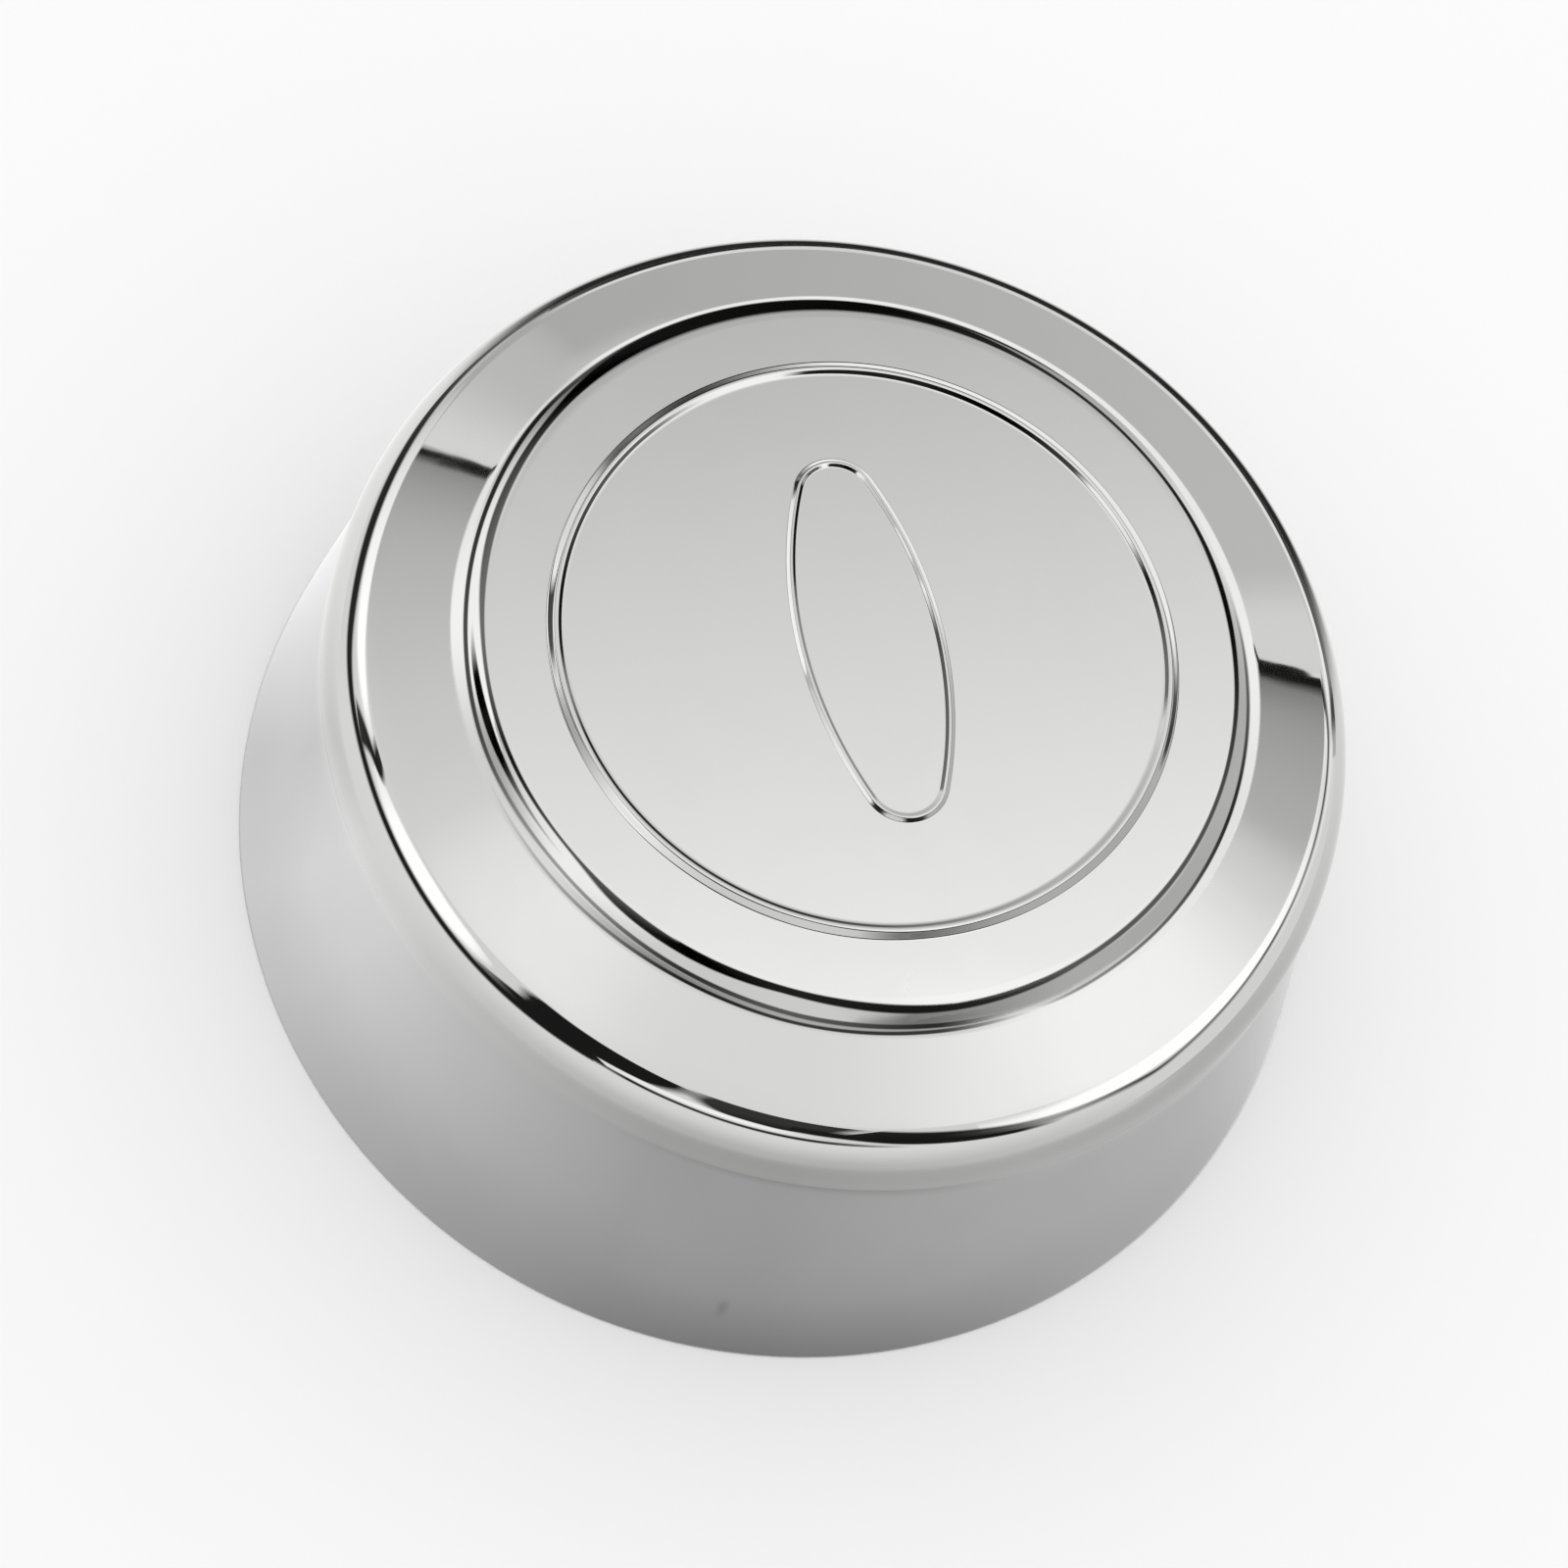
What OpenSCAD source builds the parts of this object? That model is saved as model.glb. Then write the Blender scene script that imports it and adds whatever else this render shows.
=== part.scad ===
// Axle hub cover: one round cap drawn from polished sheet, closed at the top
// and open at the bottom. It stands on its open rim, with the axis along Z and
// the origin at the centre of the rim. All sizes are in millimetres.

/* [Overall] */
// Outer diameter of the open rim
rim_d = 216; // [180:1:260]
// Height from the rim to the raised face
cover_h = 79; // [60:1:100]
// Thickness of the sheet
sheet_t = 1.2; // [0.8:0.1:2]

/* [Raised face] */
// Radius of the rounded edge of the face
face_edge_r = 5.4; // [3:0.1:7]
// Radius of the hollow at the foot of the step
step_foot_r = 10.5; // [4:0.1:12]
// Steepest angle of the step below the level
step_angle = 34; // [28:1:50]

/* [Ring bead] */
// Distance from the start of the rounded edge in to the crest of the ring bead
ring_inset = 11.6; // [6:0.1:14]
// Width of the ring bead
ring_w = 3.2; // [2.4:0.1:5]
// Height of the ring bead
ring_h = 0.6; // [0.3:0.05:0.8]

/* [Oval bead] */
// Gap between the ring bead and each end of the oval bead
oval_gap = 16.8; // [8:0.1:22]
// Radius of the crest round each end of the oval
oval_end_r = 6.8; // [4:0.1:12]
// Width of the oval bead
oval_bead_w = 2; // [1.6:0.1:3]
// Height of the oval bead
oval_bead_h = 0.4; // [0.2:0.05:0.5]

/* [Shoulder and skirt] */
// Width of the sloping shoulder between the step and the outer corner
shoulder_w = 13; // [6:0.1:20]
// Slope of the shoulder below the level
shoulder_angle = 17.4; // [8:0.1:24]
// Radius of the outer corner
corner_r = 11; // [7:0.5:13]
// Angle of the skirt below the level just under the corner
skirt_top_angle = 88; // [84:0.5:89]
// Radius of the hollow of the skirt under the corner
cove_r = 38; // [20:1:45]
// Distance by which the rim stands out beyond the top of the skirt
skirt_spread = 16.8; // [10:0.1:22]

/* [Smoothness] */
// Largest turn between neighbouring points of a round stretch, in degrees
arc_step = 3; // [2:0.5:6]
// The same over the beads
bead_step = 9; // [6:0.5:15]

/* [Hidden] */
$fn = 180;

// The radii follow from the rim inwards. A stretch of arc takes up its radius
// times the difference of the sines of the angles that it turns between.
rim_r = rim_d / 2;
skirt_top_r = rim_r - skirt_spread;
shoulder_r = skirt_top_r - corner_r * (sin(skirt_top_angle) - sin(shoulder_angle));
step_foot_w = step_foot_r * (sin(step_angle) - sin(shoulder_angle));
face_r = shoulder_r - shoulder_w - step_foot_w - face_edge_r * sin(step_angle);
ring_r = face_r - ring_inset;

// The outline is walked outwards from the axis. A place on it is
// [radius, height, angle below the level], and every stretch starts where the
// last one ended, so the surface has no kink.
ring_start = [ring_r - ring_w / 2, cover_h, 0];
face_end = [face_r, cover_h, 0];
step_mid = arc_end(face_end, face_edge_r, step_angle);
step_end = arc_end(step_mid, -step_foot_r, shoulder_angle);
shoulder_end = line_end(step_end, shoulder_w / cos(shoulder_angle));
corner_end = arc_end(shoulder_end, corner_r, skirt_top_angle);

// The skirt is a hollow arc that runs into a straight flare down to the rim. The
// flare is the tangent from the rim to the circle of that arc.
cove_out = corner_end[0] + cove_r * sin(skirt_top_angle) - rim_r;
cove_up = corner_end[1] + cove_r * cos(skirt_top_angle);
cove_far = sqrt(pow(cove_out, 2) + pow(cove_up, 2));
flare_angle = 180 - atan2(cove_up, cove_out) - asin(cove_r / cove_far);
rim_end = [rim_r, 0, flare_angle];

// Angle to which the flanks of a bead of a width and height rise
function bead_angle(w, h) = 2 * atan(2 * h / w);
// Radius of the four equal arcs that make up such a bead
function bead_arc_r(w, h) = w / 4 / sin(bead_angle(w, h));

// Place at the end of an arc that turns from a place's angle to another angle.
// A negative radius is a hollow one.
function arc_end(p, r, angle) = [
    p[0] + r * (sin(angle) - sin(p[2])),
    p[1] - r * (cos(p[2]) - cos(angle)),
    angle
];
// Place at the end of a straight run at a place's own angle
function line_end(p, run) = [
    p[0] + run * cos(p[2]),
    p[1] - run * sin(p[2]),
    p[2]
];
// Places along such an arc, without its first one
function arc_path(p, r, angle, step) =
    let (n = max(1, ceil(abs(angle - p[2]) / step)))
    [for (i = [1:n]) arc_end(p, r, p[2] + (angle - p[2]) * i / n)];
// Places over a raised bead that starts at a place on the level
function bead_path(p, w, h) =
    let (
        a = bead_angle(w, h),
        r = bead_arc_r(w, h),
        up = arc_path(p, -r, -a, bead_step),
        over = arc_path(up[len(up) - 1], r, a, bead_step),
        down = arc_path(over[len(over) - 1], -r, 0, bead_step)
    )
    concat([p], up, over, down);

// The outer surface from the axis to the rim
outer_path = concat(
    [[0, cover_h, 0]],
    bead_path(ring_start, ring_w, ring_h),
    [face_end],
    arc_path(face_end, face_edge_r, step_angle, arc_step),
    arc_path(step_mid, -step_foot_r, shoulder_angle, arc_step),
    [shoulder_end],
    arc_path(shoulder_end, corner_r, skirt_top_angle, arc_step),
    arc_path(corner_end, -cove_r, flare_angle, arc_step),
    [rim_end]
);

// Point on the inner side of the sheet. It is square to the outer surface, apart
// from two places: the level face with its bead is pressed straight up, and the
// rim is cut off level.
function inner_point(p) =
    p[1] >= cover_h ? [p[0], p[1] - sheet_t]
    : p[1] <= 0 ? [p[0] - sheet_t / sin(p[2]), 0]
    : [p[0] - sheet_t * sin(p[2]), p[1] - sheet_t * cos(p[2])];

// The drawn cap without its oval
module cap() {
    rotate_extrude()
        polygon(concat(
            [for (p = outer_path) inner_point(p)],
            [for (i = [len(outer_path) - 1:-1:0]) [outer_path[i][0], outer_path[i][1]]]
        ));
}

// The oval is drawn with four arcs, two round its ends and two along its sides.
// Its long axis lies along X. The centres of the ends are 5 units and those of
// the sides 12 units away from the middle, so an end's and a side's are 13 units
// apart. The arcs meet on the lines through them, without a kink. The unit is
// round to 0.002 mm, which keeps the arcs' ends on each other.
oval_half_l = ring_r - ring_w / 2 - oval_gap - oval_bead_w / 2;
oval_unit = round(100 * (oval_half_l - oval_end_r)) / 500;
oval_end_x = 5 * oval_unit;
oval_side_y = 12 * oval_unit;
oval_side_r = oval_end_r + 13 * oval_unit;

// Takes a section round a centre, and keeps the arc between the lines from there
// along two directions
module oval_arc(centre, r, first, second) {
    reach = 10;
    intersection() {
        translate([centre[0], centre[1], 0])
            rotate_extrude()
                translate([r, 0])
                    children();
        linear_extrude(2 * cover_h)
            polygon([centre, centre + reach * first, centre + reach * second]);
    }
}

// Takes a section round the whole oval
module round_oval() {
    for (s = [-1, 1]) {
        oval_arc([s * oval_end_x, 0], oval_end_r,
            s * [oval_end_x, -oval_side_y], s * [oval_end_x, oval_side_y])
            children();
        oval_arc([0, -s * oval_side_y], oval_side_r,
            s * [oval_end_x, oval_side_y], s * [-oval_end_x, oval_side_y])
            children();
    }
}

// Section across the oval bead, down to a depth under its foot
module oval_section(depth) {
    path = bead_path([-oval_bead_w / 2, 0, 0], oval_bead_w, oval_bead_h);
    polygon(concat(
        [[-oval_bead_w / 2, -depth], [oval_bead_w / 2, -depth]],
        [for (i = [len(path) - 1:-1:0]) [path[i][0], path[i][1]]]
    ));
}

// The bead is a ridge on the outside of the sheet and a groove on its inside
module hub_cover() {
    color("silver")
        difference() {
            union() {
                cap();
                round_oval()
                    translate([0, cover_h])
                        oval_section(sheet_t / 2);
            }
            round_oval()
                translate([0, cover_h - sheet_t])
                    oval_section(sheet_t);
        }
}

hub_cover();
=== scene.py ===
import bpy
import math
import numpy as np
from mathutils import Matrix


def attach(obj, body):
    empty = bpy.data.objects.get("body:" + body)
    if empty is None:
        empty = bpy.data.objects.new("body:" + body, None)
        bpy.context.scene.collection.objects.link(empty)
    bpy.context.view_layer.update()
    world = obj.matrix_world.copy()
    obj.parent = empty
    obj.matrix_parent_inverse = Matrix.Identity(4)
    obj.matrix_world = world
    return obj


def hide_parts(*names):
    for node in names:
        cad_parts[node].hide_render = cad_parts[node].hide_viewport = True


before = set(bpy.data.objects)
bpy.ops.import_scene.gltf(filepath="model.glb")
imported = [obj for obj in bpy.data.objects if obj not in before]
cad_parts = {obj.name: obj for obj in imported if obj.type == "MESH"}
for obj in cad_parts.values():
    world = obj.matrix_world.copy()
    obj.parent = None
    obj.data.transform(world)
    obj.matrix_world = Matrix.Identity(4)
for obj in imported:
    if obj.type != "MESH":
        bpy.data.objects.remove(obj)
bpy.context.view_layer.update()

# Lengths are in millimetres, apart from those in the materials and those of the floor
# and the hanging cards, which are in metres.
MM = 0.001

# Sizes of the cap, the same as in part.scad
RIM_R = 108.0
COVER_H = 79.0
SHEET_T = 1.2
FACE_EDGE_R = 5.4
STEP_FOOT_R = 10.5
STEP_ANGLE = 34.0
RING_INSET = 11.6
RING_W = 3.2
RING_H = 0.6
OVAL_GAP = 16.8
OVAL_END_R = 6.8
OVAL_BEAD_W = 2.0
OVAL_BEAD_H = 0.4
SHOULDER_W = 13.0
SHOULDER_ANGLE = 17.4
CORNER_R = 11.0
SKIRT_TOP_ANGLE = 88.0
COVE_R = 38.0
SKIRT_SPREAD = 16.8

# Fineness of the visible mesh: columns round the cap, and the turn in degrees from point
# to point over the beads, the other arcs and the edge of the rim
COLUMNS = 480
BEAD_STEP = 7.0
INNER_BEAD_STEP = 28.0
ARC_STEP = 2.2
INNER_ARC_STEP = 5.0
EDGE_STEP = 30.0
# Radius by which the edge of the rim is rounded
EDGE_ROUND = 0.2

# Plating and polishing round the light off over the beads and the step. A bead's normals
# turn by a share of its slope, up to a most on its inner and its outer side, on the side
# of the cap away from FAR_WAY and on the side towards it. FAR_RANGE is where the one
# side goes over into the other, as cosines of the turn from FAR_WAY. The step's normals
# turn evenly, from STEP_LEAD before the edge of the face.
BEAD_SHARE = 0.5
FAR_OUTER_SHARE = 1.4
RING_MOST = ((13.3, 13.3), (10.8, 15.3))
OVAL_MOST = ((9.3, 12.0), (9.3, 18.3))
FAR_WAY = 172.0
FAR_RANGE = (-0.1, 0.5)
STEP_LEAD = 0.75


def sin(angle):
    return math.sin(math.radians(angle))


def cos(angle):
    return math.cos(math.radians(angle))


def ramp(x, low, high):
    """0 up to low, 1 from high on, and a soft rise between them."""
    t = np.clip((x - low) / (high - low), 0, 1)
    return t * t * (3 - 2 * t)


# A place on the outline is (radius, height, angle below the level).
def arc_end(p, r, angle):
    return (p[0] + r * (sin(angle) - sin(p[2])), p[1] - r * (cos(p[2]) - cos(angle)), angle)


def arc_path(p, r, angle, step):
    n = max(1, math.ceil(abs(angle - p[2]) / step))
    return [arc_end(p, r, p[2] + (angle - p[2]) * i / n) for i in range(1, n + 1)]


def line_path(p, run, n):
    steps = [run * i / n for i in range(1, n + 1)]
    return [(p[0] + step * cos(p[2]), p[1] - step * sin(p[2]), p[2]) for step in steps]


def bead_path(p, w, h, step):
    a = 2 * math.degrees(math.atan(2 * h / w))
    r = w / 4 / sin(a)
    path = [p]
    for radius, angle in ((-r, -a), (r, a), (-r, 0.0)):
        path += arc_path(path[-1], radius, angle, step)
    return path


skirt_top_r = RIM_R - SKIRT_SPREAD
shoulder_r = skirt_top_r - CORNER_R * (sin(SKIRT_TOP_ANGLE) - sin(SHOULDER_ANGLE))
step_foot_w = STEP_FOOT_R * (sin(STEP_ANGLE) - sin(SHOULDER_ANGLE))
face_r = shoulder_r - SHOULDER_W - step_foot_w - FACE_EDGE_R * sin(STEP_ANGLE)
ring_r = face_r - RING_INSET
ring_start_r = ring_r - RING_W / 2


# Places from the ring bead out to the rim, along the outer surface
def outline(bead_step, arc_step):
    path = bead_path((ring_start_r, COVER_H, 0.0), RING_W, RING_H, bead_step)
    path += [(face_r - STEP_LEAD, COVER_H, 0.0), (face_r, COVER_H, 0.0)]
    path += arc_path(path[-1], FACE_EDGE_R, STEP_ANGLE, arc_step)
    path += arc_path(path[-1], -STEP_FOOT_R, SHOULDER_ANGLE, arc_step)
    path += line_path(path[-1], SHOULDER_W / cos(SHOULDER_ANGLE), 2)
    path += arc_path(path[-1], CORNER_R, SKIRT_TOP_ANGLE, arc_step)
    out = path[-1][0] + COVE_R * sin(SKIRT_TOP_ANGLE) - RIM_R
    up = path[-1][1] + COVE_R * cos(SKIRT_TOP_ANGLE)
    flare = 180 - math.degrees(math.atan2(up, out) + math.asin(COVE_R / math.hypot(out, up)))
    path += arc_path(path[-1], -COVE_R, flare, arc_step)
    # The edge of the rim is rounded a little, so the flare stops just short of it
    back = EDGE_ROUND / math.tan(math.radians(flare / 2))
    run = path[-1][1] / sin(flare) - back
    path += line_path(path[-1], run, 4)
    return path


def inner_place(p):
    if p[1] >= COVER_H:
        return (p[0], p[1] - SHEET_T, p[2])
    return (p[0] - SHEET_T * sin(p[2]), p[1] - SHEET_T * cos(p[2]), p[2])


outer = outline(BEAD_STEP, ARC_STEP)
flare_angle = outer[-1][2]
edge_out = arc_path(outer[-1], EDGE_ROUND, 180.0, EDGE_STEP)
inner = [inner_place(p) for p in outline(INNER_BEAD_STEP, INNER_ARC_STEP)]
rim_inner_r = RIM_R - SHEET_T / sin(flare_angle)
inner_back = EDGE_ROUND / math.tan(math.radians((180 - flare_angle) / 2))
inner[-1] = (
    rim_inner_r - inner_back * cos(flare_angle), inner_back * sin(flare_angle), flare_angle,
)
inner_edge = (rim_inner_r + inner_back, 0.0, 180.0)
edge_in = arc_path(inner_edge, EDGE_ROUND, 180 + flare_angle, EDGE_STEP)

# The oval is four arcs. The centres of its ends stand 5 units from the middle and those
# of its sides 12 units, so an end's and a side's are 13 units apart.
END_UNITS, SIDE_UNITS, SPAN_UNITS = 5, 12, 13
oval_half_l = ring_start_r - OVAL_GAP - OVAL_BEAD_W / 2
oval_unit = round(100 * (oval_half_l - OVAL_END_R)) / 500
oval_side_r = OVAL_END_R + SPAN_UNITS * oval_unit


# Points of the oval's crest and its outward directions, one a column
def oval_crest():
    join = math.degrees(math.atan2(SIDE_UNITS, END_UNITS))
    end_x, side_y = END_UNITS * oval_unit, SIDE_UNITS * oval_unit
    arcs = (
        (end_x, 0, OVAL_END_R, -join, join),
        (0, -side_y, oval_side_r, join, 180 - join),
        (-end_x, 0, OVAL_END_R, 180 - join, 180 + join),
        (0, side_y, oval_side_r, 180 + join, 360 - join),
    )
    share = COLUMNS // 4
    points, ways = [], []
    for x, y, r, first, last in arcs:
        for i in range(share):
            angle = first + (last - first) * i / share
            way = (cos(angle), sin(angle))
            points.append((x + r * way[0], y + r * way[1]))
            ways.append(way)
    # The first column lies in the middle of the first arc, along X
    return (np.roll(np.array(a), -share // 2, axis=0) for a in (points, ways))


crest, crest_way = oval_crest()
column_angles = np.arange(COLUMNS) * 2 * np.pi / COLUMNS
column_way = np.stack([np.cos(column_angles), np.sin(column_angles)], 1)


# Slopes that the light sees on a bead, one for each way across it
def bead_slopes(slope, ways, most):
    far = ramp(ways @ np.array([cos(FAR_WAY), sin(FAR_WAY)]), *FAR_RANGE)
    near_most, far_most = most[0 if slope < 0 else 1]
    near_slope = min(near_most, abs(slope) * BEAD_SHARE)
    far_slope = min(far_most, abs(slope) * (FAR_OUTER_SHARE if slope > 0 else BEAD_SHARE))
    return np.sign(slope) * (near_slope + (far_slope - near_slope) * far)


# The same at a place on the outline
def soft_slopes(p):
    start, end = face_r - STEP_LEAD, shoulder_r - SHOULDER_W
    if p[0] <= start:
        return bead_slopes(p[2], column_way, RING_MOST)
    slope = p[2]
    if p[0] < end and p[1] > COVER_H / 2:
        slope = SHOULDER_ANGLE * (p[0] - start) / (end - start)
    return np.full(COLUMNS, slope)


def ring_normals(ways, slopes, side):
    slopes = np.radians(slopes)
    return side * np.column_stack([ways * np.sin(slopes)[:, None], np.cos(slopes)])


# Rings of points and normals: round the axis, and along the oval
def round_ring(p, side):
    points = np.column_stack([column_way * p[0], np.full(COLUMNS, p[1])])
    return points, ring_normals(column_way, soft_slopes(p), side)


def oval_ring(p, side):
    points = np.column_stack([crest + crest_way * p[0], np.full(COLUMNS, p[1])])
    return points, ring_normals(crest_way, bead_slopes(p[2], crest_way, OVAL_MOST), side)


def oval_rings(side, step):
    lower = 0.0 if side > 0 else SHEET_T
    path = bead_path((-OVAL_BEAD_W / 2, COVER_H - lower, 0.0), OVAL_BEAD_W, OVAL_BEAD_H, step)
    return [oval_ring(p, side) for p in path]


def add_piece(name, rings, centre_z, materials, inside_from):
    """A closed skin: a fan in the middle, strips of quads from ring to ring, and a fan at
    the end. The second material starts at ring number inside_from."""
    points = [np.array([[0, 0, z] for z in centre_z])]
    normals = [np.array([[0, 0, 1.0], [0, 0, -1.0]])]
    for points_round, normals_round in rings:
        points.append(points_round)
        normals.append(normals_round)
    count = len(rings)
    last = 2 + (count - 1) * COLUMNS
    faces, slots = [], []
    for j in range(COLUMNS):
        k = (j + 1) % COLUMNS
        faces.append((0, 2 + j, 2 + k))
        slots.append(0)
        for i in range(count - 1):
            a = 2 + i * COLUMNS
            b = a + COLUMNS
            faces.append((a + j, b + j, b + k, a + k))
            slots.append(1 if i >= inside_from else 0)
        faces.append((1, last + k, last + j))
        slots.append(1)
    mesh = bpy.data.meshes.new(name)
    mesh.from_pydata((np.vstack(points) * MM).tolist(), [], faces)
    for material in materials:
        mesh.materials.append(material)
    mesh.polygons.foreach_set("material_index", slots)
    mesh.polygons.foreach_set("use_smooth", [True] * len(faces))
    mesh.update()
    mesh.normals_split_custom_set_from_vertices(np.vstack(normals).tolist())
    piece = bpy.data.objects.new(name, mesh)
    bpy.context.scene.collection.objects.link(piece)
    return piece


# Node helpers
def new_nodes(material):
    material.use_nodes = True
    tree = material.node_tree
    tree.nodes.clear()
    return tree


def add(tree, kind, inputs=(), **settings):
    node = tree.nodes.new(kind)
    for key, value in settings.items():
        setattr(node, key, value)
    for key, value in dict(inputs).items():
        if isinstance(value, bpy.types.NodeSocket):
            tree.links.new(value, node.inputs[key])
        else:
            node.inputs[key].default_value = value
    return node


def ramp_node(tree, value, low, high, first, last):
    """A value mapped smoothly from low..high to first..last."""
    return add(tree, "ShaderNodeMapRange", {
        "Value": value, "From Min": low, "From Max": high, "To Min": first, "To Max": last,
    }, interpolation_type="SMOOTHSTEP").outputs["Result"]


def math_node(tree, operation, *values):
    inputs = dict(enumerate(values))
    return add(tree, "ShaderNodeMath", inputs, operation=operation).outputs["Value"]


def vector_node(tree, operation, *vectors, output="Vector"):
    inputs = dict(enumerate(vectors))
    return add(tree, "ShaderNodeVectorMath", inputs, operation=operation).outputs[output]


def noise(tree, vector, scale, detail, distortion=0.0):
    return add(tree, "ShaderNodeTexNoise", {
        "Vector": vector, "Scale": scale, "Detail": detail, "Distortion": distortion,
    }).outputs["Fac"]


def bump_node(tree, height, strength, distance, under=None):
    """A bump of a height in metres, over the bump under it."""
    inputs = {"Height": height, "Strength": strength, "Distance": distance}
    if under:
        inputs["Normal"] = under
    return add(tree, "ShaderNodeBump", inputs).outputs["Normal"]


def colour_mix(tree, factor, first, second):
    inputs = {"Factor": factor, "A": first, "B": second}
    return add(tree, "ShaderNodeMix", inputs, data_type="RGBA").outputs["Result"]


def metal(tree, colour, rough, normal):
    shader = add(tree, "ShaderNodeBsdfPrincipled", {
        "Base Color": colour, "Metallic": 1.0, "Roughness": rough, "Normal": normal,
    })
    add(tree, "ShaderNodeOutputMaterial", {"Surface": shader.outputs["BSDF"]})


def cap_places(tree):
    """Object place, height, (radius, height) for marks that run round, and (way
    round, height) for marks that run down."""
    place = add(tree, "ShaderNodeTexCoord").outputs["Object"]
    height = add(tree, "ShaderNodeSeparateXYZ", {0: place}).outputs["Z"]
    level = vector_node(tree, "MULTIPLY", place, (1.0, 1.0, 0.0))
    radius = vector_node(tree, "LENGTH", level, output="Value")
    way = vector_node(tree, "NORMALIZE", level)
    round_marks = add(tree, "ShaderNodeCombineXYZ", {"X": radius, "Y": height}).outputs["Vector"]
    lift = math_node(tree, "MULTIPLY", height, 5.0)
    lift = add(tree, "ShaderNodeCombineXYZ", {"Z": lift}).outputs["Vector"]
    return place, height, round_marks, vector_node(tree, "ADD", way, lift)


# Colours of the chrome, of what lies on it, and of the shade painted towards the rim
PLATE = (0.622, 0.622, 0.612, 1.0)
FILM = (0.612, 0.612, 0.602, 1.0)
SKIRT_TINT = (0.615, 0.605, 0.625, 1.0)
SMEAR = (0.575, 0.572, 0.57, 1.0)
# A grey painted on the skirt as shade towards the rim
RIM_SHADE_GREY = (0.46, 0.455, 0.46, 1.0)
WORN = (0.5, 0.495, 0.485, 1.0)
DRIP = (0.16, 0.155, 0.15, 1.0)
# Colours of the inside
DULL = (0.45, 0.45, 0.455, 1.0)
STAIN = (0.33, 0.325, 0.31, 1.0)
RUBBED = (0.5, 0.5, 0.5, 1.0)

# Middle of the dried drip on the near side of the skirt, in metres, and how its lengths
# along each axis count
DRIP_PLACE = (0.0970, -0.0353, 0.0160)
DRIP_SCALE = (1.0, 1.0, 0.14)


def chrome_material():
    material = bpy.data.materials.new("bright_chrome")
    tree = new_nodes(material)
    place, height, round_marks, down_marks = cap_places(tree)
    # Slow waves of the pressing, and hair-fine rings from the polishing wheel
    waves = noise(tree, place, 22.0, 1.0)
    ripples = noise(tree, place, 75.0, 2.0)
    rings = noise(tree, round_marks, 1400.0, 3.0)
    bump = bump_node(tree, waves, 0.3, 0.0001)
    bump = bump_node(tree, ripples, 0.2, 0.00001, bump)
    bump = bump_node(tree, rings, 0.1, 0.000002, bump)
    # Wipe smears run down the skirt, and a cloudy film lies over all of it
    skirt = ramp_node(tree, height, 0.066, 0.06, 0.0, 1.0)
    smears = ramp_node(tree, noise(tree, down_marks, 3.5, 3.0, 0.4), 0.5, 0.78, 0.0, 1.0)
    smears = math_node(tree, "MULTIPLY", smears, skirt)
    film = ramp_node(tree, noise(tree, place, 34.0, 4.0, 1.2), 0.42, 0.75, 0.0, 1.0)
    # Painted shade darkens the skirt towards the rim, where it mirrors the floor in the cap's
    # shade. The rim is worn dull where it stands on things.
    rim_shade = ramp_node(tree, height, 0.042, 0.002, 0.0, 0.55)
    rim_height = math_node(tree, "ADD", height, math_node(tree, "MULTIPLY", ripples, -0.0016))
    wear = ramp_node(tree, rim_height, 0.0008, -0.0004, 0.0, 1.0)
    # One drip has dried above the rim
    away = vector_node(tree, "SUBTRACT", place, DRIP_PLACE)
    away = vector_node(tree, "MULTIPLY", away, DRIP_SCALE)
    reach = vector_node(tree, "LENGTH", away, output="Value")
    reach = math_node(tree, "ADD", reach, math_node(tree, "MULTIPLY", ripples, 0.0012))
    drip = ramp_node(tree, reach, 0.0022, 0.0008, 0.0, 1.0)
    colour = colour_mix(tree, film, PLATE, FILM)
    colour = colour_mix(tree, math_node(tree, "MULTIPLY", skirt, waves), colour, SKIRT_TINT)
    colour = colour_mix(tree, math_node(tree, "MULTIPLY", smears, 0.6), colour, SMEAR)
    # Painted shade towards the rim
    colour = colour_mix(tree, rim_shade, colour, RIM_SHADE_GREY)
    colour = colour_mix(tree, wear, colour, WORN)
    colour = colour_mix(tree, math_node(tree, "MULTIPLY", drip, 0.28), colour, DRIP)
    marks = math_node(tree, "MAXIMUM", wear, drip)
    rough = math_node(tree, "MULTIPLY_ADD", film, 0.02, 0.025)
    rough = math_node(tree, "ADD", rough, math_node(tree, "MULTIPLY", smears, 0.06))
    rough = math_node(tree, "ADD", rough, math_node(tree, "MULTIPLY", marks, 0.2))
    metal(tree, colour, rough, bump)
    return material


def inside_material():
    material = bpy.data.materials.new("dull_plate")
    tree = new_nodes(material)
    place, height, round_marks, down_marks = cap_places(tree)
    # Thin grey plate with drawing marks down the wall, rings, and cloudy stains
    rings = noise(tree, round_marks, 520.0, 4.0)
    draws = noise(tree, down_marks, 46.0, 4.0)
    stains = ramp_node(tree, noise(tree, place, 26.0, 5.0, 0.8), 0.4, 0.72, 0.0, 1.0)
    bump = bump_node(tree, rings, 0.3, 0.00004)
    bump = bump_node(tree, draws, 0.35, 0.0001, bump)
    colour = colour_mix(tree, stains, DULL, STAIN)
    colour = colour_mix(tree, math_node(tree, "MULTIPLY", draws, 0.35), colour, RUBBED)
    metal(tree, colour, math_node(tree, "MULTIPLY_ADD", stains, 0.16, 0.34), bump)
    return material


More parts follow.
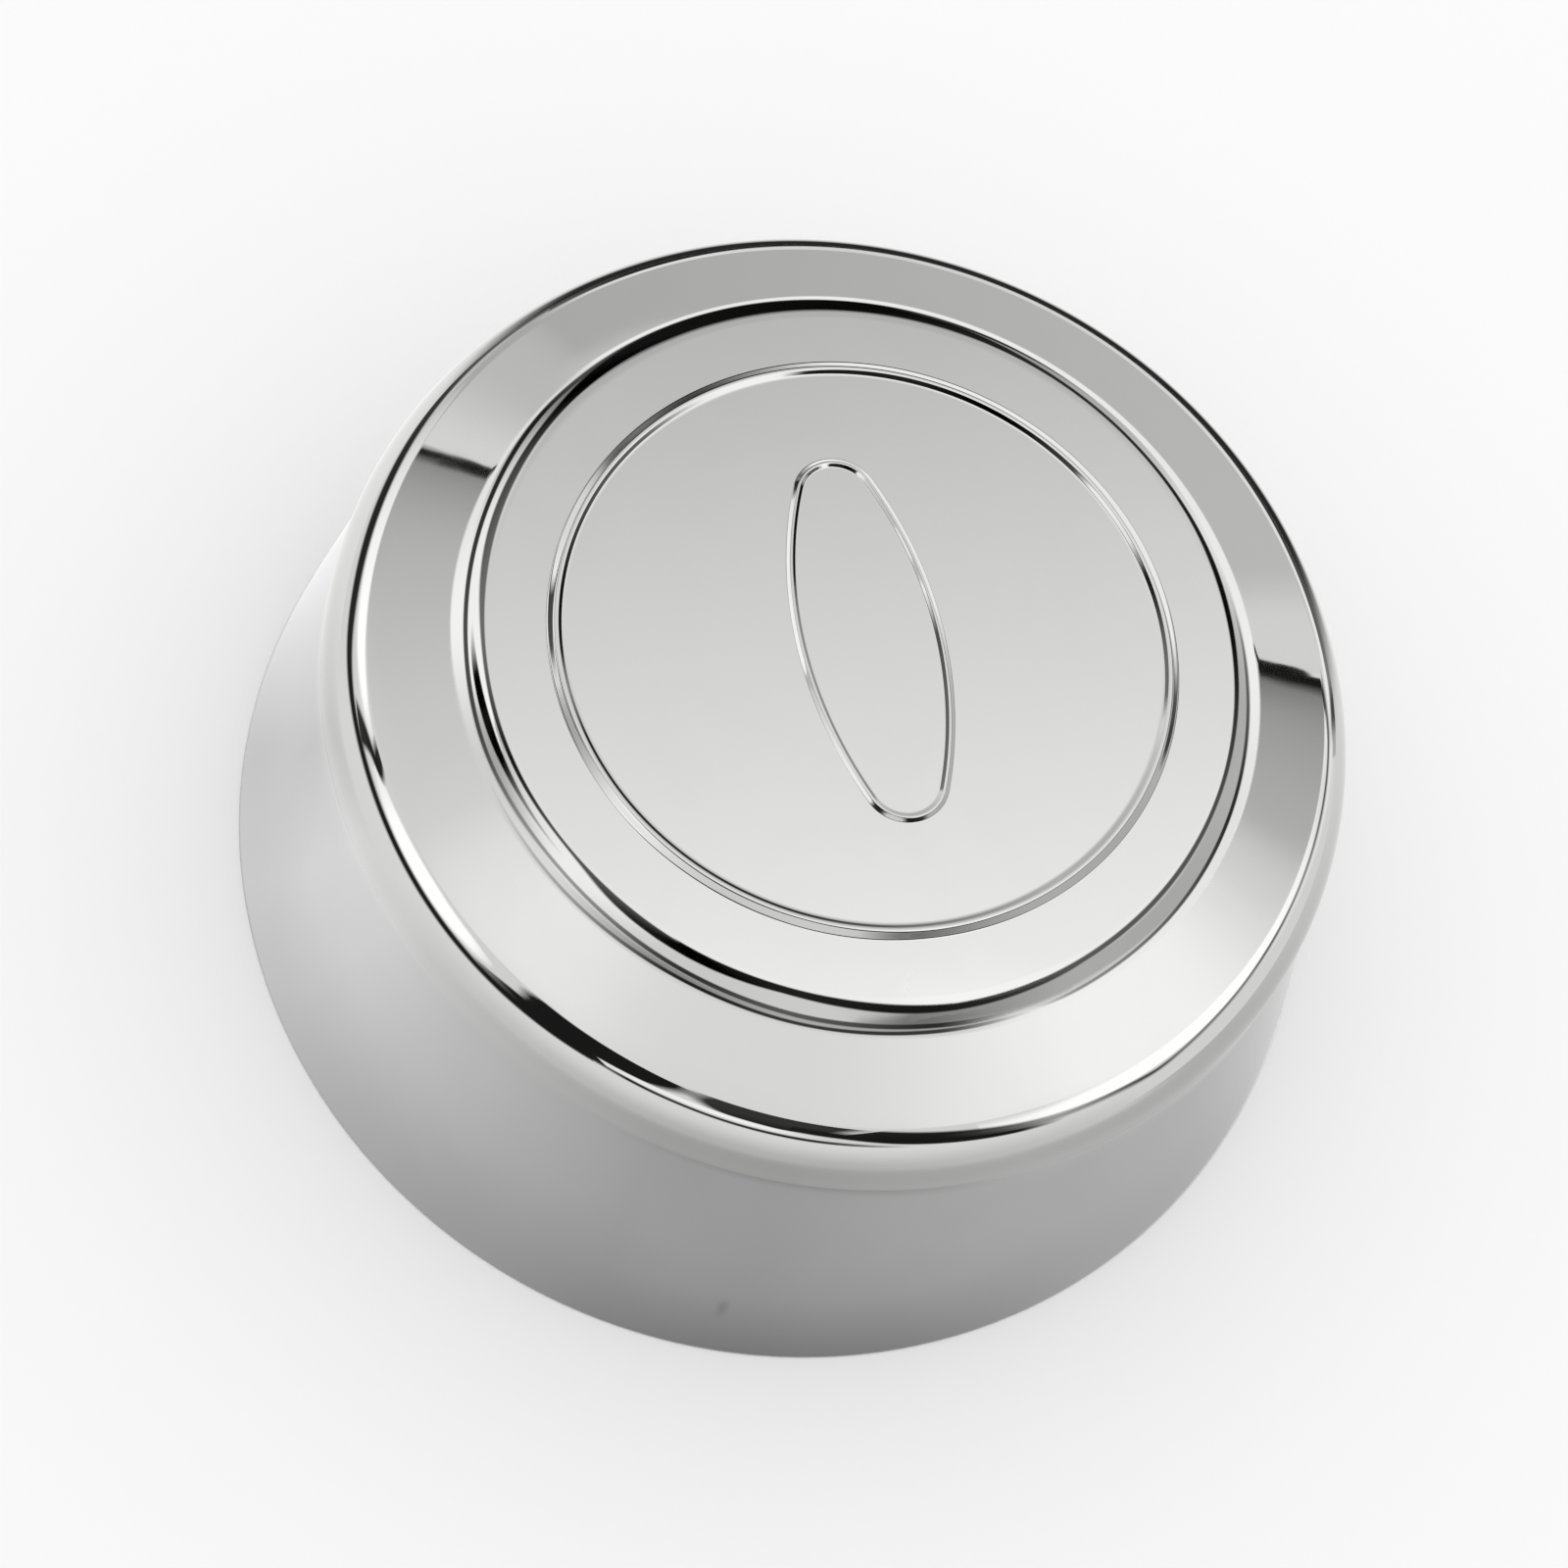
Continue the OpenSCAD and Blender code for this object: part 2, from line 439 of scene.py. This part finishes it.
rings = oval_rings(1, BEAD_STEP)
rings += [round_ring(p, 1) for p in outer + edge_out]
inside_from = len(rings) - 1
rings += [round_ring(p, 1) for p in edge_in]
rings += [round_ring(p, -1) for p in reversed(inner)]
rings += list(reversed(oval_rings(-1, INNER_BEAD_STEP)))
cap = add_piece(
    "hub_cover_skin", rings, (COVER_H, COVER_H - SHEET_T),
    (chrome_material(), inside_material()), inside_from,
)
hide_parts("hub_cover")
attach(cap, "root")


# Floor
FLOOR_PALE = (0.97, 0.97, 0.97, 1.0)
FLOOR_PALER = (0.982, 0.982, 0.981, 1.0)


def mix_shaders(tree, factor, first, second):
    both = add(tree, "ShaderNodeMixShader", {0: factor, 1: first, 2: second})
    add(tree, "ShaderNodeOutputMaterial", {"Surface": both.outputs["Shader"]})


def floor_material():
    material = bpy.data.materials.new("pale_floor")
    tree = new_nodes(material)
    place = add(tree, "ShaderNodeTexCoord").outputs["Object"]
    tint = colour_mix(tree, noise(tree, place, 6.0, 6.0), FLOOR_PALE, FLOOR_PALER)
    paper = add(tree, "ShaderNodeBsdfDiffuse", {"Color": tint, "Roughness": 0.0})
    # Seen from below, the floor lets the view through
    clear = add(tree, "ShaderNodeBsdfTransparent")
    side = add(tree, "ShaderNodeNewGeometry").outputs["Backfacing"]
    mix_shaders(tree, side, paper.outputs["BSDF"], clear.outputs["BSDF"])
    return material


# The floor is open under the cap, where only a view from below can tell, so that the
# inside has light there
FLOOR_R = 7.0
FLOOR_OPEN_R = 0.1035
FLOOR_DROP = 0.0002
FLOOR_PARTS = 96
floor_ways = [
    (cos(360 * i / FLOOR_PARTS), sin(360 * i / FLOOR_PARTS)) for i in range(FLOOR_PARTS)
]
floor_points = [(x * r, y * r, 0) for r in (FLOOR_OPEN_R, FLOOR_R) for x, y in floor_ways]
floor_faces = []
for i in range(FLOOR_PARTS):
    k = (i + 1) % FLOOR_PARTS
    floor_faces.append((i, i + FLOOR_PARTS, k + FLOOR_PARTS, k))
floor_mesh = bpy.data.meshes.new("floor")
floor_mesh.from_pydata(floor_points, [], floor_faces)
floor_mesh.materials.append(floor_material())
floor = bpy.data.objects.new("floor", floor_mesh)
floor.location.z = -FLOOR_DROP
bpy.context.scene.collection.objects.link(floor)

# Studio cards. They hang all round at a distance, in metres, each a little nearer than
# the one before. Only the chrome shows them: the camera and the floor don't. A place on
# the sky is (u, v) in degrees from straight up, with v towards the back and u to its
# right. A card's tone is its brightness, where 1 is white, and its cover is how little
# of what lies behind shows through. The face mirrors what lies round the place
# (0, FACE_V).
BACK_AZIMUTH = 146.5
FACE_V = 29.0
CARD_DISTANCE = 9.0
CARD_GAP = 0.05
CARD_CENTRE = (0.0, 0.0, 0.06)


def card_material():
    material = bpy.data.materials.new("studio_card")
    tree = new_nodes(material)
    tone = add(tree, "ShaderNodeAttribute", attribute_name="tone")
    glow = add(tree, "ShaderNodeEmission", {"Color": tone.outputs["Color"], "Strength": 1.0})
    clear = add(tree, "ShaderNodeBsdfTransparent")
    mix_shaders(tree, tone.outputs["Alpha"], clear.outputs["BSDF"], glow.outputs["Emission"])
    return material


card_look = card_material()
cards = []


def sky_place(u, v, distance):
    polar = np.radians(np.hypot(u, v))
    azimuth = np.radians(BACK_AZIMUTH) + np.arctan2(-u, v)
    level = np.sin(polar)
    way = np.stack([level * np.cos(azimuth), level * np.sin(azimuth), np.cos(polar)], -1)
    return np.array(CARD_CENTRE) + distance * way


def add_card(name, points, tone, cover):
    """A grid of points, with a tone and a cover at each."""
    rows, columns = tone.shape
    faces = [
        (i * columns + j, i * columns + j + 1, (i + 1) * columns + j + 1, (i + 1) * columns + j)
        for i in range(rows - 1) for j in range(columns - 1)
    ]
    mesh = bpy.data.meshes.new(name)
    mesh.from_pydata(points.reshape(-1, 3).tolist(), [], faces)
    colours = np.stack([tone, tone, tone, cover], -1).astype(np.float32)
    layer = mesh.color_attributes.new("tone", "FLOAT_COLOR", "POINT")
    layer.data.foreach_set("color", colours.ravel())
    mesh.materials.append(card_look)
    card = bpy.data.objects.new(name, mesh)
    bpy.context.scene.collection.objects.link(card)
    card.visible_camera = False
    card.visible_diffuse = False
    card.visible_transmission = False
    card.visible_volume_scatter = False
    card.visible_shadow = False
    cards.append(card)


def next_distance():
    return CARD_DISTANCE - CARD_GAP * len(cards)


# Points of a card's path between one station and the next
PATH_SHARE = 8


def smooth_path(stations):
    """Stations joined by a curve through all of them."""
    s = np.array(stations, float)
    ends = np.vstack([2 * s[0] - s[1], s, 2 * s[-1] - s[-2]])
    path = []
    for a, b, c, d in zip(ends, ends[1:], ends[2:], ends[3:]):
        square = 2 * a - 5 * b + 4 * c - d
        cube = 3 * b - a - 3 * c + d
        for i in range(PATH_SHARE):
            t = i / PATH_SHARE
            path.append(0.5 * (2 * b + (c - a) * t + square * t ** 2 + cube * t ** 3))
    path.append(s[-1])
    return np.array(path)


def strip(name, soft, stations):
    """A card along stations of (u, v, half width, tone, cover), with the softness of
    its left and its right edge in degrees."""
    path = smooth_path(stations)
    along = np.gradient(path[:, :2], axis=0)
    along /= np.linalg.norm(along, axis=1)[:, None]
    left = np.column_stack([-along[:, 1], along[:, 0]])
    half = path[:, 2].clip(0.05)
    full_left = np.maximum(half - soft[0] / 2, 0.02)
    full_right = np.maximum(half - soft[1] / 2, 0.02)
    offsets = [half + soft[0] / 2, full_left, -full_right, -half - soft[1] / 2]
    u = np.stack([path[:, 0] + left[:, 0] * o for o in offsets], 1)
    v = np.stack([path[:, 1] + left[:, 1] * o for o in offsets], 1)
    tone = np.repeat(path[:, 3:4].clip(0), 4, axis=1)
    cover = path[:, 4:5].clip(0, 1) * np.array([0.0, 1.0, 1.0, 0.0])
    add_card(name, sky_place(u, v, next_distance()), tone, cover)


# A large grey sweep over the back, which gives the face its gradient. It gets darker
# towards the back and the left, down to a least tone.
u, v = np.meshgrid(np.linspace(-70, 70, 71), np.linspace(6, 96, 61))
tone = np.maximum(1.046 + 0.0147 * u - 0.0262 * (v - FACE_V), 0.70 + 0.0018 * u)
cover = ramp(v, 8, 20) * ramp(70 - np.abs(u), 0, 20)
add_card("back_sweep", sky_place(u, v, next_distance()), tone, cover)

# A grey sweep low over the front, which darkens towards the floor. Its tones there go by
# the turn from the front.
SWEEP_TONE = 1.07
FRONT_TONES = (
    (-95, 1.07), (-55, 1.04), (-38, 0.92), (-20, 0.8), (5, 0.68), (30, 0.68), (55, 0.78),
    (75, 0.9), (90, 1.1),
)
turn, polar = np.meshgrid(np.linspace(-95, 85, 91), np.linspace(50, 93, 30))
low_tone = np.interp(turn, *zip(*FRONT_TONES))
tone = SWEEP_TONE + (low_tone - SWEEP_TONE) * ramp(polar, 52, 94)
cover = ramp(polar, 50, 56) * ramp(90 - np.abs(turn + 5), 0, 15)
u = polar * np.sin(np.radians(turn))
v = -polar * np.cos(np.radians(turn))
add_card("front_sweep", sky_place(u, v, next_distance()), tone, cover)

# Bright cards
strip("right_light", (10, 3), [
    (36, -20, 6, 1.6, 0.6), (45, -12, 10, 1.65, 1), (50, 0, 11, 1.7, 1), (52, 12, 9.5, 1.7, 1),
    (52, 22, 8, 1.6, 1), (51, 31, 6.5, 1.4, 1), (50, 39, 6, 1.15, 1), (48, 46, 4, 1.0, 0.3),
])
strip("left_light", (3, 5), [
    (-56, 46, 5, 1.0, 0.2), (-55, 38, 7, 1.1, 0.8), (-55, 28, 8, 1.3, 1), (-54, 18, 8, 1.5, 1),
    (-52, 9, 7, 1.65, 1), (-48, 2, 5, 1.6, 1), (-44, -2, 2, 1.5, 0.4),
])
strip("front_left_light", (4, 6), [
    (-49, -9, 4, 1.5, 0.6), (-44, -16, 9, 1.6, 1), (-37, -23, 11, 1.65, 1),
    (-30, -27, 8, 1.6, 1), (-26, -29, 3, 1.5, 0.4),
])

# Dark cards at the edges of the lights
strip("left_flag", (4, 4), [
    (-22, 92, 3, 0.3, 0.5), (-34, 86, 3.5, 0.15, 0.8), (-44, 80, 4, 0.12, 0.9),
    (-53, 73, 5, 0.12, 0.9), (-62, 64, 5, 0.08, 0.9), (-69, 51, 6, 0.06, 1),
    (-71, 40, 6.5, 0.04, 1), (-71, 27, 7, 0.03, 1), (-71, 15, 6.5, 0.03, 1),
    (-72, 4, 5.5, 0.03, 1), (-69, -6, 4.5, 0.02, 1), (-63, -15, 4.5, 0.02, 1),
    (-57, -24, 4.5, 0.02, 1), (-50, -33, 4.5, 0.02, 1), (-42, -40, 4.5, 0.02, 1),
    (-32, -45, 4.5, 0.02, 1), (-22, -46, 5, 0.02, 1), (-12, -46.5, 3.5, 0.02, 1),
])
strip("left_bar", (1.5, 2), [
    (-40, -1.5, 1.6, 0.05, 1), (-43, -4.5, 2.2, 0.03, 1), (-46, -7, 2.2, 0.02, 1),
    (-52, -6.5, 2.5, 0.03, 1), (-62, -8, 4, 0.05, 1),
])
strip("right_flag", (3, 5), [
    (22, -24.5, 6, 0.02, 1), (33, -24.5, 5.5, 0.02, 1), (44, -23.5, 4.5, 0.05, 0.9),
    (52, -20, 4, 0.2, 0.7), (60, -13, 3, 0.12, 0.9), (65.6, -8.5, 2.5, 0.03, 1),
    (65.5, -2.5, 1.8, 0.08, 0.9), (64, 5, 1.8, 0.12, 0.9), (62.5, 13.7, 2, 0.08, 0.9),
    (61, 20, 2.1, 0.06, 1), (59.4, 28.7, 2, 0.1, 0.9), (58, 36, 2.4, 0.08, 0.9),
    (55.6, 43.7, 2.2, 0.06, 1), (52, 48.5, 1.8, 0.04, 1), (47, 50, 1.4, 0.03, 1),
    (42.5, 49.8, 1, 0.02, 1),
])
strip("right_far_flag", (3, 3), [
    (53, 50, 1.5, 0.15, 0.5), (57, 55, 2.5, 0.15, 0.8), (62, 62, 3, 0.1, 1),
    (68, 67, 5, 0.05, 1), (76, 70, 6, 0.05, 1),
])
strip("front_flag", (3, 2), [
    (-5.5, -18.9, 8.5, 0.015, 1), (-8, -26, 10.5, 0.015, 1), (-11, -34, 10.5, 0.015, 1),
    (-16, -40, 10, 0.015, 1), (-24, -42, 8, 0.015, 1), (-33, -43, 5, 0.015, 0.6),
])
strip("front_curtain", (3, 3), [
    (12, -18.9, 8.5, 0.05, 1), (12, -28, 9, 0.05, 1), (14, -34, 8, 0.03, 1),
    (17, -37, 6, 0.02, 1),
])
strip("front_right_flag", (4, 2), [
    (16, -33, 4, 0.02, 1), (24, -31.5, 4.5, 0.015, 1), (33, -31, 5.4, 0.015, 1),
    (42, -30, 4.4, 0.015, 1), (51, -27.5, 3, 0.02, 1), (58, -24.5, 2, 0.1, 0.2),
])
strip("front_line", (1.5, 1.5), [
    (-14, -46, 3, 0.02, 0), (-6, -48, 2.2, 0.02, 1), (2, -48.6, 2, 0.04, 1),
    (12, -48.3, 2, 0.04, 1), (22, -46, 2.2, 0.03, 1), (30, -42.5, 2, 0.03, 0.8),
    (38, -39, 1, 0.05, 0),
])
strip("front_light", (1.5, 1.5), [
    (-10, -43.5, 2.5, 1.2, 1), (0, -41.7, 3, 1.35, 1), (9, -41, 3, 1.4, 1),
    (17, -40.5, 2.6, 1.3, 0.9), (25, -38.5, 1.6, 0.9, 0.2),
])


def round_face(stations):
    """Stations given by the turn and the distance round what the face mirrors."""
    return [
        (reach * cos(turn), FACE_V + reach * sin(turn), half, tone, cover)
        for turn, reach, half, tone, cover in stations
    ]


# Cards over the zone inside the circle that the shoulder mirrors. The step runs through
# them from the face's edge outwards, and the beads show bits of them.
strip("step_light", (3, 3), round_face([
    (-80, 13.5, 3, 1.2, 0), (-57, 14.5, 4, 1.44, 1), (-36, 14, 3.5, 1.42, 1),
    (-20, 13, 2.5, 1.2, 0),
]))
strip("step_band", (4, 4), round_face([
    (-62, 27, 7, 0.3, 1), (-46, 27, 7, 0.5, 1), (-36, 27, 7, 0.64, 1), (-16, 27, 8, 0.62, 1),
    (3, 26, 9, 0.68, 1), (23, 24, 9, 0.7, 1), (43, 26, 8, 1.2, 1), (63, 26, 8, 0.75, 1),
    (83, 27, 8, 0.5, 1), (103, 27, 9, 0.03, 1), (123, 28, 10, 0.015, 1), (143, 29, 10, 0.02, 1),
    (163, 29, 8, 0.43, 1), (183, 26, 9, 1.25, 1), (203, 24, 9, 1.4, 1), (213, 25, 9, 1.4, 1),
    (223, 26, 8, 0.6, 1), (243, 24, 9, 1.35, 1), (263, 26, 8, 0.95, 1), (283, 26, 8, 0.95, 1),
    (292, 26, 8, 0.85, 1), (299, 27, 7, 0.3, 1), (304, 27, 7, 0.3, 1), (314, 27, 7, 0.5, 1),
    (324, 27, 7, 0.64, 1),
]))
strip("step_foot_light", (2, 2), round_face([
    (-56, 39.5, 2.5, 1.0, 0.3), (-46, 40.5, 3.2, 1.3, 1), (-36, 40.7, 3.2, 1.41, 1),
    (-16, 39.8, 3.6, 1.3, 1), (3, 37.5, 4, 1.22, 1), (23, 35.5, 5.5, 1.38, 1),
    (43, 33.5, 6, 1.32, 1), (63, 35, 5, 1.3, 1), (83, 36.8, 4, 1.35, 1),
    (103, 38.8, 3.2, 1.35, 1), (123, 39.8, 2.3, 1.35, 1), (143, 40, 2.2, 1.38, 1),
    (163, 39.8, 2.6, 1.3, 1), (183, 39, 4.5, 1.25, 1), (203, 36.5, 5, 1.42, 1),
    (223, 37, 2.8, 1.0, 1), (243, 36, 3, 1.1, 1), (263, 36.5, 2.2, 0.4, 1),
    (283, 37.5, 2.2, 0.64, 1), (303, 36.7, 2.2, 0.5, 1), (312, 38, 2, 0.8, 0.5),
]))
strip("step_line", (1.2, 1.2), round_face([
    (-50, 21.5, 2.4, 0.05, 1), (-36, 19.4, 1.9, 0.14, 1), (-16, 17.2, 2, 0.15, 1),
    (3, 16.2, 1.8, 0.1, 1), (23, 16.6, 2.2, 0.01, 1), (43, 19.4, 2.4, 0.015, 1),
    (63, 19.6, 2, 0.03, 1), (83, 21, 2.6, 0.03, 1), (103, 24.5, 6, 0.006, 1),
    (123, 27.5, 7.5, 0.006, 1), (143, 28, 7.5, 0.01, 1), (163, 23.5, 3.2, 0.01, 1),
    (183, 20, 3, 0.14, 1), (203, 15.2, 1.7, 0.22, 1), (223, 15.4, 1.9, 0.01, 1),
    (243, 14.4, 1.4, 0.14, 1), (263, 18, 4.4, 0.006, 1), (283, 17, 3.2, 0.02, 1),
    (303, 21.5, 3, 0.015, 1), (316, 21, 2.2, 0.05, 1), (324, 19.4, 1.9, 0.14, 1),
]))
strip("step_right_line", (1, 1), round_face([
    (-44, 38, 0.8, 0.5, 0), (-36, 37.4, 1.2, 0.45, 1), (-16, 35, 1.5, 0.15, 1),
    (3, 31.2, 1.7, 0.035, 1), (23, 27, 1.5, 0.2, 1), (36, 24.5, 0.8, 0.3, 0),
]))
strip("step_back_line", (1, 1), round_face([
    (72, 29, 0.8, 0.3, 0), (83, 30.3, 1.6, 0.05, 1), (94, 31, 2, 0.02, 1), (105, 30, 2, 0.02, 0),
]))
strip("step_left_line", (1, 1), round_face([
    (145, 34, 2, 0.02, 0), (163, 34.4, 2.1, 0.015, 1), (183, 30.3, 2, 0.04, 1),
    (203, 29.2, 1.8, 0.1, 1), (223, 31.8, 1.5, 0.12, 1), (243, 30.3, 1.3, 0.5, 1),
    (263, 32.4, 1.7, 0.06, 1), (283, 34, 1.8, 0.15, 1), (303, 34.4, 1.8, 0.04, 1),
    (315, 35.5, 1.2, 0.3, 0),
]))
strip("step_left_streak", (1, 1), round_face([
    (202, 24, 0.6, 0.2, 0), (210, 23.7, 2.4, 0.01, 1), (218, 23.3, 3, 0.01, 1),
    (226, 22.8, 2.2, 0.02, 1), (234, 22.4, 1, 0.4, 1), (242, 22, 0.6, 0.6, 0),
]))
strip("step_near_line", (1, 1), round_face([
    (226, 39, 0.8, 0.3, 0), (246, 39.6, 1.2, 0.4, 0.8), (263, 39.3, 1.5, 0.04, 1),
    (283, 40, 1.4, 0.06, 1), (303, 39, 1.5, 0.07, 1), (318, 38.6, 0.8, 0.3, 0),
]))
strip("back_light", (1, 2), [
    (62, 46, 2.6, 1.2, 0), (52, 56.4, 2.8, 1.3, 1), (38, 67.5, 3.6, 1.2, 1),
    (20, 76.5, 5, 1.05, 1), (0, 80.5, 5.5, 1.0, 1), (-20, 76.5, 5, 1.0, 1),
    (-38, 67.5, 3.6, 1.15, 1), (-50, 58, 2.6, 1.2, 0),
])
strip("back_flag", (1.5, 1.5), [
    (66, 55, 4, 0.06, 0.4), (58, 63.5, 4.6, 0.05, 0.7), (45, 73.5, 5.2, 0.03, 0.9),
    (30, 84.5, 4.4, 0.02, 1), (14, 89.5, 4, 0.02, 1), (0, 91, 4, 0.02, 1),
    (-15, 89.5, 4, 0.02, 1), (-30, 84.5, 4.4, 0.02, 1), (-44, 74.4, 5.2, 0.03, 1),
    (-54, 67, 4.5, 0.06, 0.6),
])
strip("circle_glow", (2.5, 2.5), [
    (-31, -2.8, 2.6, 1.0, 0), (-26, -7.5, 2.6, 1.15, 1), (-19, -12, 2.6, 1.27, 1),
    (-11.5, -15, 2.6, 1.24, 1), (-4.9, -16.4, 2.3, 1.12, 1), (1.8, -16.7, 2.2, 1.08, 1),
    (8.4, -15.9, 2.3, 1.08, 1), (14.9, -14.2, 2.5, 1.1, 1), (20.9, -11.5, 2.6, 1.17, 1),
    (26.8, -8, 2.6, 1.27, 1), (35.8, 1.4, 2.6, 1.42, 1), (41.8, 13, 2.6, 1.38, 1),
    (44.4, 21, 2.6, 1.15, 1), (44.7, 26, 2.6, 1.0, 0.8), (44.5, 31, 2.6, 0.8, 0),
])

# Grey cards along the circle that the shoulder mirrors. Each ends at a ragged black edge.
strip("right_shade", (2, 2), [
    (44.4, 22, 2.2, 0.9, 0), (44.5, 27, 2.2, 0.85, 0.7), (44.3, 32, 2.3, 0.68, 1),
    (43.3, 38, 2.4, 0.6, 1), (41.8, 43.6, 2.6, 0.5, 1), (40.6, 46.8, 2.8, 0.36, 1),
    (39.6, 49, 3, 0.2, 1),
])
strip("right_glow", (3, 3), [
    (39.6, 49.4, 4, 1.0, 1), (38.4, 51.4, 4, 1.0, 1), (36.4, 54.6, 4, 0.98, 1),
    (34.6, 57.2, 4, 0.9, 0.3), (33.2, 59, 4, 0.85, 0),
])
strip("left_shade", (2, 2), [
    (-43.1, 32.8, 3, 0.3, 1), (-43.3, 31, 3, 0.42, 1), (-43.3, 28, 2.6, 0.55, 1),
    (-43.1, 23, 2.3, 0.68, 1), (-42, 16.7, 2.2, 0.76, 1), (-40, 10.6, 2.2, 0.83, 1),
    (-37, 4.7, 2, 0.9, 1), (-33, -0.6, 2, 0.94, 0.8), (-29, -5, 2, 1.0, 0.3),
])
strip("left_glow", (3, 3), [
    (-37.5, 50.5, 4, 0.85, 0), (-39.3, 46.8, 4, 0.78, 0.8), (-41.4, 41.8, 4, 0.8, 1),
    (-42.7, 36, 4, 1.0, 1), (-43.1, 33.1, 4, 1.05, 1),
])
strip("right_edge", (1.1, 0.1), [
    (46, 48.6, 0.7, 0.012, 1), (43, 48.6, 0.7, 0.012, 1), (41, 48.7, 0.7, 0.012, 1),
    (40.1, 48.55, 0.7, 0.012, 1), (39.75, 48.75, 0.74, 0.012, 1), (39.45, 49.05, 0.78, 0.012, 1),
    (39.15, 48.8, 0.72, 0.012, 1), (38.85, 48.95, 0.74, 0.012, 1), (38.55, 48.7, 0.7, 0.012, 1),
    (38.2, 48.95, 0.78, 0.012, 1), (37.8, 48.8, 0.7, 0.012, 1), (35, 48.9, 0.66, 0.012, 1),
])
strip("left_edge", (1.3, 0.1), [
    (-39, 32.5, 0.5, 0.012, 1), (-41.5, 32.4, 0.5, 0.012, 1), (-42.2, 32.1, 0.5, 0.012, 1),
    (-42.55, 32.45, 0.55, 0.012, 1), (-42.9, 32.25, 0.5, 0.012, 1),
    (-43.2, 32.6, 0.56, 0.012, 1), (-43.5, 32.35, 0.5, 0.012, 1), (-43.85, 32.45, 0.5, 0.012, 1),
    (-44.5, 32.3, 0.5, 0.012, 1), (-47, 32.5, 0.5, 0.012, 0),
])

# A grey sheet on the floor, mostly darker than the floor and seen only in the chrome,
# which the flank of the cap mirrors: painted shade in place of the floor in the cap's
# shade. Its tones go by the azimuth. Close to the rim it is a little darker, a painted
# shadow of the cap, and more so in one place at the front. Far off it meets the front
# sweep, and is black behind the cap.
SHEET_TONES = (
    (0, 0.56), (20, 0.62), (42, 0.63), (58, 0.69), (72, 0.8), (90, 0.95), (110, 1.05),
    (150, 0.9), (185, 1.0), (215, 1.15), (232, 1.1), (245, 0.97), (255, 0.86), (263, 0.96),
    (270, 1.04), (282, 0.98), (295, 0.82), (312, 0.66), (328, 0.54), (345, 0.51), (360, 0.56),
)
SHEET_REACH = (108.4, 114, 122, 132, 145, 160, 190, 230, 300, 420, 700, 1200, 2500, 5900)
angle, reach = np.meshgrid(np.linspace(0, 360, 181), np.array(SHEET_REACH))
turn = (angle - BACK_AZIMUTH) % 360 - 180
front = ramp(110 - np.abs(turn + 15), 0, 30)
front_place = ramp(36 - np.abs(turn - 22), 0, 30)
# Painted shadow of the cap: darker close to the rim, and more so at one place in front
near = 1 - 0.1 * (1 - ramp(reach, 104, 146)) * front
near *= 1 - 0.3 * (1 - ramp(reach, 106, 122)) * front_place
tone = np.interp(angle, *zip(*SHEET_TONES)) * near
low_tone = np.interp(turn, *zip(*FRONT_TONES))
tone += (low_tone - tone) * ramp(reach, 180, 900) * ramp(90 - np.abs(turn + 5), 0, 15)
behind = ramp(reach, 190, 300) * ramp(55 - np.abs((angle - 150 + 180) % 360 - 180), 0, 20)
tone += (0.03 - tone) * behind
ring = np.stack([np.cos(np.radians(angle)), np.sin(np.radians(angle))], -1)
level = np.full(angle.shape + (1,), -FLOOR_DROP / 2)
points = np.concatenate([ring * reach[..., None] * MM, level], -1)
add_card("floor_shade_sheet", points, tone, np.ones(angle.shape))

# World
world = bpy.data.worlds.new("studio")
bpy.context.scene.world = world
world.use_nodes = True
background = world.node_tree.nodes["Background"]
background.inputs["Color"].default_value = (1, 1, 1, 1)
background.inputs["Strength"].default_value = 1.0

# Camera at the photograph's viewing angle: it looks at a point on the level of the
# raised face, and is rolled about its line of sight.
AIM = (25.05, -20.27, COVER_H)
DISTANCE = 351.25
AZIMUTH = -33.5
ELEVATION = 64.66
ROLL = -23.81
LENS = 49.5
SENSOR_W = 36.0
back = np.array([cos(AZIMUTH) * cos(ELEVATION), sin(AZIMUTH) * cos(ELEVATION), sin(ELEVATION)])
level_right = np.array([-sin(AZIMUTH), cos(AZIMUTH), 0.0])
level_up = np.cross(back, level_right)
right = level_right * cos(ROLL) - level_up * sin(ROLL)
up = level_up * cos(ROLL) + level_right * sin(ROLL)
camera_data = bpy.data.cameras.new("camera")
camera_data.lens = LENS
camera_data.sensor_width = SENSOR_W
camera = bpy.data.objects.new("camera", camera_data)
bpy.context.scene.collection.objects.link(camera)
matrix = np.eye(4)
matrix[:3, 0], matrix[:3, 1], matrix[:3, 2] = right, up, back
matrix[:3, 3] = (np.array(AIM) + back * DISTANCE) * MM
camera.matrix_world = [list(map(float, row)) for row in matrix.T]
bpy.context.scene.camera = camera

bpy.context.scene.view_settings.view_transform = "Standard"
